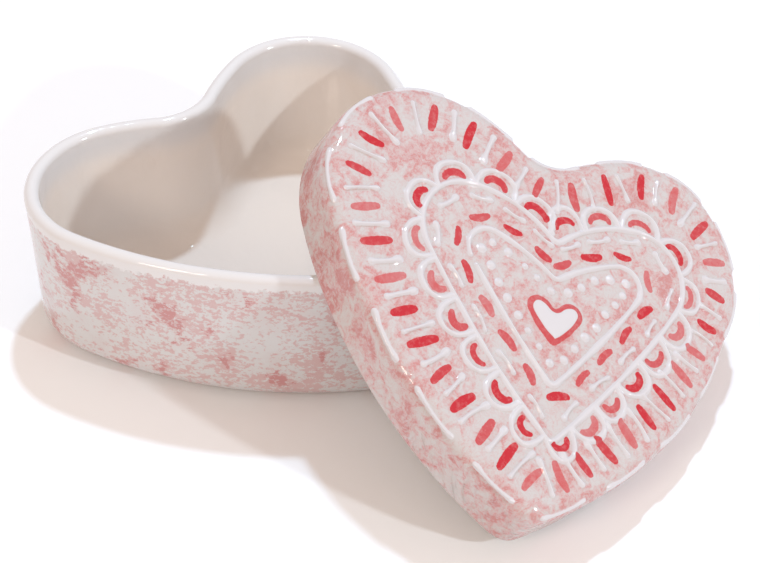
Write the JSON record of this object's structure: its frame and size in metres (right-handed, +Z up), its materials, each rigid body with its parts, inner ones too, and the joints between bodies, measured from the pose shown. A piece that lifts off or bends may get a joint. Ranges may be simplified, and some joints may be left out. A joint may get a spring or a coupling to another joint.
{
  "type": "lidded heart box",
  "caption": "Heart-shaped glazed earthenware box with a loose lid that leans on its rim, sponged pink, with raised white lines and red dashes on the lid.",
  "frame": {"origin": "halfway between the dish's front and back and its left and right, on its flat underside", "axes": "+Z up, +Y from the dish's tip to its notch, +X to the right seen from the tip"},
  "size_m": [0.1712, 0.1926, 0.0857],
  "materials": {
    "dish_glaze": "clear gloss glaze, pink sponged outside and off-white inside",
    "lid_glaze": "clear gloss glaze over pink sponging, red strokes and raised white lines"
  },
  "bodies": {
    "root": {"dish": "dish_glaze", "lid": "lid_glaze"}
  },
  "joints": []
}
